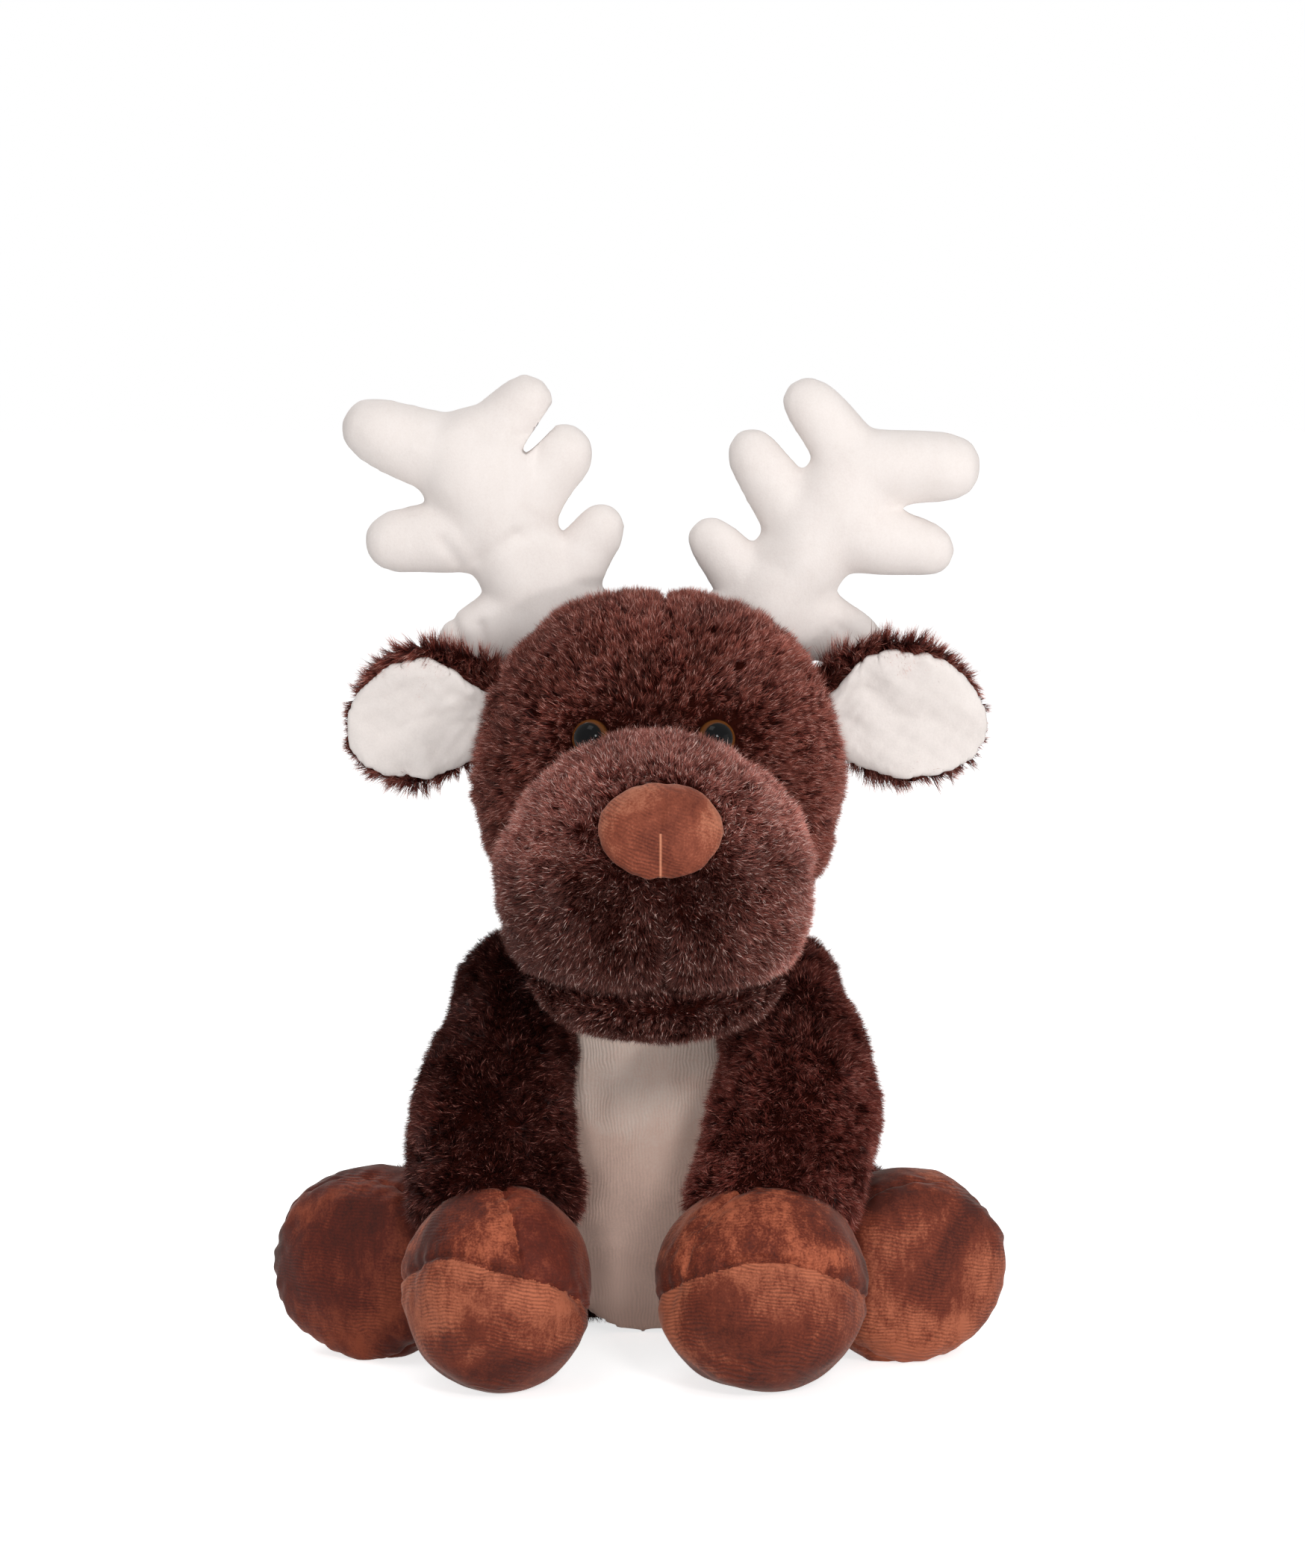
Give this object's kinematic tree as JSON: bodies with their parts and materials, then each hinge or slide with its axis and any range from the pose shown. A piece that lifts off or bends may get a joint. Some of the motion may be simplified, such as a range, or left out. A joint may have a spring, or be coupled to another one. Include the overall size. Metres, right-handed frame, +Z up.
{
  "type": "plush deer",
  "caption": "Seated soft toy deer with long brown pile, cream belly, ears and antlers, rust velboa hooves and nose, and dome eyes; head, legs, ears, antlers and tail flex at their seams.",
  "frame": {"origin": "middle of the torso's flat base, on the surface it sits on", "axes": "+Z up, the toy faces -Y, its own left side at +X"},
  "size_m": [0.2258, 0.216, 0.3016],
  "materials": {
    "pile": "long clumped pile, dark brown",
    "flat_pile": "flat shiny pile, dark brown",
    "velboa": "short nap with knit rows, rust",
    "cream": "short nap, cream",
    "filling": "polyester fibre filling",
    "eye": "glossy black dome with an amber ring",
    "washer": "white plastic"
  },
  "bodies": {
    "torso": {"torso_cover": "pile", "belly_panel": "cream", "torso_stuffing": "filling"},
    "head": {"head_cover": "pile", "head_stuffing": "filling", "muzzle": "flat_pile", "chin": "pile", "nose_left": "velboa", "nose_right": "velboa", "eye_left": "eye", "eye_right": "eye", "eye_washer_left": "washer", "eye_washer_right": "washer"},
    "tail": {"tail": "pile"},
    "front_leg_left": {"front_leg_left": "pile", "front_hoof_outer_left": "velboa", "front_hoof_inner_left": "velboa", "front_sole_left": "velboa"},
    "hind_leg_left": {"hind_leg_left": "pile", "hind_hoof_left": "velboa", "hind_sole_left": "velboa"},
    "ear_left": {"ear_back_left": "pile", "ear_lining_left": "cream"},
    "antler_left": {"antler_left": "cream"},
    "front_leg_right": {"front_leg_right": "pile", "front_hoof_outer_right": "velboa", "front_hoof_inner_right": "velboa", "front_sole_right": "velboa"},
    "hind_leg_right": {"hind_leg_right": "pile", "hind_hoof_right": "velboa", "hind_sole_right": "velboa"},
    "ear_right": {"ear_back_right": "pile", "ear_lining_right": "cream"},
    "antler_right": {"antler_right": "cream"}
  },
  "joints": [
    {"name": "head_nod", "type": "hinge", "parent": "torso", "child": "head", "pos_m": [0.002, -0.012, 0.126], "axis": [-1, 0, 0], "range_deg": [-2, 12], "stiffness_Nm_per_rad": 4},
    {"name": "tail_lift", "type": "hinge", "parent": "torso", "child": "tail", "pos_m": [0, 0.0476, 0.03], "axis": [1, 0, 0], "range_deg": [-14, 3], "stiffness_Nm_per_rad": 0.1},
    {"name": "shoulder_left", "type": "hinge", "parent": "torso", "child": "front_leg_left", "pos_m": [0.042, -0.018, 0.107], "axis": [-0.5, -0.866, 0], "range_deg": [0, 15], "stiffness_Nm_per_rad": 0.3},
    {"name": "hip_left", "type": "hinge", "parent": "torso", "child": "hind_leg_left", "pos_m": [0.043, -0.001, 0.031], "axis": [0, 0, 1], "range_deg": [0, 18], "stiffness_Nm_per_rad": 0.3},
    {"name": "ear_fold_left", "type": "hinge", "parent": "head", "child": "ear_left", "pos_m": [0.0548, -0.016, 0.199], "axis": [0.3335, 0, -0.9428], "range_deg": [0, 26], "stiffness_Nm_per_rad": 0.1},
    {"name": "antler_lean_left", "type": "hinge", "parent": "head", "child": "antler_left", "pos_m": [0.0363, 0, 0.2195], "axis": [-0.8309, 0, 0.5564], "range_deg": [0, 16], "stiffness_Nm_per_rad": 0.3},
    {"name": "shoulder_right", "type": "hinge", "parent": "torso", "child": "front_leg_right", "pos_m": [-0.042, -0.018, 0.107], "axis": [-0.5, 0.866, 0], "range_deg": [0, 15], "stiffness_Nm_per_rad": 0.3},
    {"name": "hip_right", "type": "hinge", "parent": "torso", "child": "hind_leg_right", "pos_m": [-0.043, -0.001, 0.031], "axis": [0, 0, -1], "range_deg": [0, 18], "stiffness_Nm_per_rad": 0.3},
    {"name": "ear_fold_right", "type": "hinge", "parent": "head", "child": "ear_right", "pos_m": [-0.0442, -0.016, 0.199], "axis": [0.3335, 0, 0.9428], "range_deg": [0, 26], "stiffness_Nm_per_rad": 0.1},
    {"name": "antler_lean_right", "type": "hinge", "parent": "head", "child": "antler_right", "pos_m": [-0.0257, 0, 0.2195], "axis": [-0.8309, 0, -0.5564], "range_deg": [0, 16], "stiffness_Nm_per_rad": 0.3}
  ]
}
